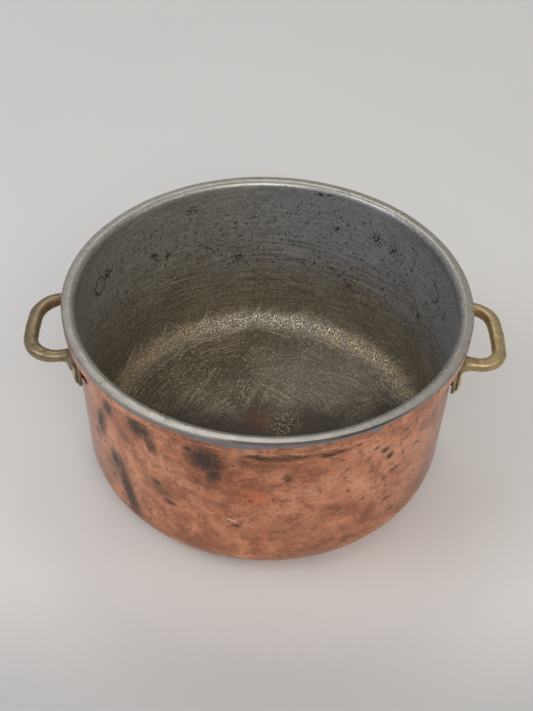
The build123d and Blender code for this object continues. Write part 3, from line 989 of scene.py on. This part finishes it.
# ---------------------------------------------------------------- brass and iron
def brass_material():
    s = Shader("brass_patina")
    place = s.place
    cloud = s.noise(place, 13, 4, 0.6)
    fine = s.noise(place, 1.5, 6, 0.7)
    color = s.ramp(
        cloud,
        (0.30, (0.23, 0.165, 0.095)),
        (0.50, (0.40, 0.30, 0.17)),
        (0.70, (0.56, 0.43, 0.245)),
    )
    color = s.mix(s.step(fine, 0.52, 0.68, 0.0, 0.7), color, (0.80, 0.58, 0.28))
    color = s.mix(s.step(fine, 0.47, 0.30, 0.0, 0.65), color, (0.17, 0.11, 0.06))
    patina = s.step(s.noise(s.warped(2, 5), 5, 4, 0.65), 0.50, 0.64, 0.0, 0.6)
    color = s.mix(patina, color, (0.17, 0.125, 0.08))
    # Painted light and shade: the right handle gets a brighter, lit copy of the brass colour and the left one
    # a darker, shaded copy
    lit_side = s.step(s.x, -100, 100)
    shaded_copy, lit_copy = s.mix(0.42, color, (0.15, 0.115, 0.085)), s.mix(0.22, color, (0.76, 0.58, 0.28))
    color = s.mix(lit_side, shaded_copy, lit_copy)
    # Darker towards the pan's wall: grime, deepened by painted shade where the handle meets the wall
    uneven = s.step(s.noise(place, 3, 4, 0.6), 0.30, 0.6, 0.35, 1.0)
    grime_and_shade = s.math("MULTIPLY", s.step(s.radius, 123.0, 116.0), uneven)
    color = s.mix(s.math("MULTIPLY", grime_and_shade, 0.55), color, (0.085, 0.065, 0.045))
    # Painted highlight: the rivet heads are painted a brighter gold
    head_highlight, crevice = None, None
    seats = [(angle, side) for angle in (RIGHT_HANDLE_ANGLE, LEFT_HANDLE_ANGLE) for side in (-1, 1)]
    for angle, side in seats:
        middle = foot_frame(angle, side) @ Vector((RIVET_OFFSET, 0, HEAD_SEAT))
        away = s.distance(place, tuple(middle))
        shine = s.step(away, 5.6, 4.6)
        rim_line = s.step(s.math("ABSOLUTE", s.math("SUBTRACT", away, 6.1)), 0.9, 0.3)
        head_highlight = shine if head_highlight is None else s.math("MAXIMUM", head_highlight, shine)
        crevice = rim_line if crevice is None else s.math("MAXIMUM", crevice, rim_line)
    color = s.mix(s.math("MULTIPLY", head_highlight, 0.6), color, (0.80, 0.60, 0.30))
    # Dark joints round the rivet heads and where the lobes meet the wall, deepened by painted shade in these
    # gaps
    crevice = s.math("MAXIMUM", s.math("MULTIPLY", crevice, 0.8), s.step(s.radius, 115.4, 114.2, 0.0, 0.9))
    color = s.mix(crevice, color, (0.045, 0.035, 0.025))
    pits = s.step(s.noise(place, 0.9, 2, 0.5), 0.66, 0.74)
    color = s.mix(s.math("MULTIPLY", pits, 0.5), color, (0.08, 0.06, 0.03))
    rough = s.math("MULTIPLY_ADD", fine, 0.24, 0.24)
    rough = s.blend(grime_and_shade, rough, 0.55)
    rough = s.blend(patina, rough, 0.50)
    height = s.math("MULTIPLY_ADD", fine, 0.6, s.math("MULTIPLY", pits, -0.7))
    normal = s.bump(s.noise(place, 5, 2, 0.5), 0.12)
    return s.surface(
        Base_Color=color, Metallic=0.74, Roughness=rough, Normal=s.bump(height, 0.11, 1.0, normal)
    )


def iron_material():
    s = Shader("iron_raw")
    scale = s.noise(s.place, 3, 6, 0.65)
    color = s.ramp(scale, (0.3, (0.05, 0.035, 0.028)), (0.7, (0.16, 0.12, 0.10)))
    rough = s.step(scale, 0.2, 0.8, 0.5, 0.75)
    return s.surface(Base_Color=color, Metallic=0.8, Roughness=rough, Normal=s.bump(scale, 0.12))


def floor_material():
    s = Shader("floor_pale")
    cloud = s.noise(s.place, 260, 3, 0.5)
    grain = s.noise(s.place, 1.6, 4, 0.6)
    color = s.mix(cloud, (0.735, 0.715, 0.695), (0.775, 0.755, 0.735))
    color = s.mix(s.step(grain, 0.3, 0.7, 0.0, 0.12), color, (0.66, 0.64, 0.62))
    # Painted shadow: the floor darkens towards the camera
    color = s.mix(s.step(s.y, -110, -205, 0.0, 0.9), color, (0.54, 0.53, 0.525))
    rough = s.step(cloud, 0.3, 0.7, 0.52, 0.60)
    return s.surface(Base_Color=color, Roughness=rough, Normal=s.bump(grain, 0.03))


tin = tin_material()
copper = copper_material()
brass = brass_material()
iron = iron_material()

copper_body.data.materials.append(copper)
tin_lining.data.materials.append(tin)
for handle in (handle_left, handle_right):
    handle.data.materials.append(brass)
for piece in rivets.values():
    piece.data.materials.append(brass)
    piece.data.materials.append(tin)

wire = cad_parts["rim_wire"]
wire.data.materials.clear()
wire.data.materials.append(iron)

# ---------------------------------------------------------------- frame table
for piece, node, slot_name in (
    (copper_body, "copper_body", "copper"),
    (tin_lining, "tin_lining", "tin"),
    (handle_left, "handle_left", "handle_brass"),
    (handle_right, "handle_right", "handle_brass"),
    *[(piece, node, "rivet_brass") for node, piece in rivets.items()],
):
    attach(piece, "root")
    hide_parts(node)

# ---------------------------------------------------------------- stage, light and camera
floor = new_object(
    "floor",
    [(x * FLOOR_REACH, y * FLOOR_REACH, 0) for x, y in ((-1, -1), (1, -1), (1, 1), (-1, 1))],
    [(0, 1, 2, 3)],
)
floor.data.materials.append(floor_material())


def soft_light(name, azimuth, elevation, distance, width, height, power, color):
    """Area light aimed at the pan's middle."""
    turn, climb = math.radians(azimuth), math.radians(elevation)
    aim = Vector((0, 0, 0.06))
    spot = aim + distance * Vector(
        (math.cos(climb) * math.cos(turn), math.cos(climb) * math.sin(turn), math.sin(climb))
    )
    lamp = bpy.data.lights.new(name, "AREA")
    lamp.shape = "RECTANGLE"
    lamp.size, lamp.size_y = width, height
    lamp.energy = power
    lamp.color = color
    thing = bpy.data.objects.new(name, lamp)
    thing.location = spot
    thing.rotation_euler = (aim - spot).to_track_quat("-Z", "Y").to_euler()
    bpy.context.scene.collection.objects.link(thing)


soft_light("window_left", 195, 46, 2.2, 1.1, 1.1, 10, (0.82, 0.90, 1.0))
soft_light("window_back", 97, 57, 2.4, 0.5, 0.8, 4.5, (0.93, 0.97, 1.0))
soft_light("room_right", -20, 40, 3.0, 1.6, 1.6, 5, (1.0, 0.95, 0.87))
soft_light("room_front", -80, 42, 3.4, 2.6, 2.0, 46, (1.0, 0.985, 0.965))

world = bpy.data.worlds.new("room")
world.use_nodes = True
room = world.node_tree
room.nodes.clear()
direction = room.nodes.new("ShaderNodeTexCoord").outputs["Generated"]
split = room.nodes.new("ShaderNodeSeparateXYZ")
room.links.new(direction, split.inputs[0])
fade = room.nodes.new("ShaderNodeMapRange")
fade.interpolation_type = "SMOOTHSTEP"
fade.inputs["From Min"].default_value = 0.0
fade.inputs["From Max"].default_value = 0.95
fade.inputs["To Min"].default_value = 0.22
fade.inputs["To Max"].default_value = 0.50
room.links.new(split.outputs["Z"], fade.inputs["Value"])
glow = room.nodes.new("ShaderNodeBackground")
glow.inputs["Color"].default_value = (1.0, 0.985, 0.965, 1)
room.links.new(fade.outputs["Result"], glow.inputs["Strength"])
sky = room.nodes.new("ShaderNodeOutputWorld")
room.links.new(glow.outputs[0], sky.inputs["Surface"])
bpy.context.scene.world = world
bpy.context.scene.view_settings.view_transform = "Standard"

PITCH = math.radians(43.33)
ROLL = math.radians(2.09)
CAMERA_PLACE = (0, -0.45035, 0.49525)
FOCAL_LENGTH = 50.63
right = Vector((1, 0, 0))
ahead = Vector((0, math.cos(PITCH), -math.sin(PITCH)))
up = Vector((0, math.sin(PITCH), math.cos(PITCH)))
rolled_right = right * math.cos(ROLL) + up * math.sin(ROLL)
rolled_up = up * math.cos(ROLL) - right * math.sin(ROLL)
lens = bpy.data.cameras.new("camera")
lens.sensor_width = 36
lens.lens = FOCAL_LENGTH
lens.clip_start = 0.01
camera = bpy.data.objects.new("camera", lens)
camera.matrix_world = Matrix.Translation(CAMERA_PLACE) @ Matrix(
    (rolled_right, rolled_up, -ahead)
).transposed().to_4x4()
bpy.context.scene.collection.objects.link(camera)
bpy.context.scene.camera = camera
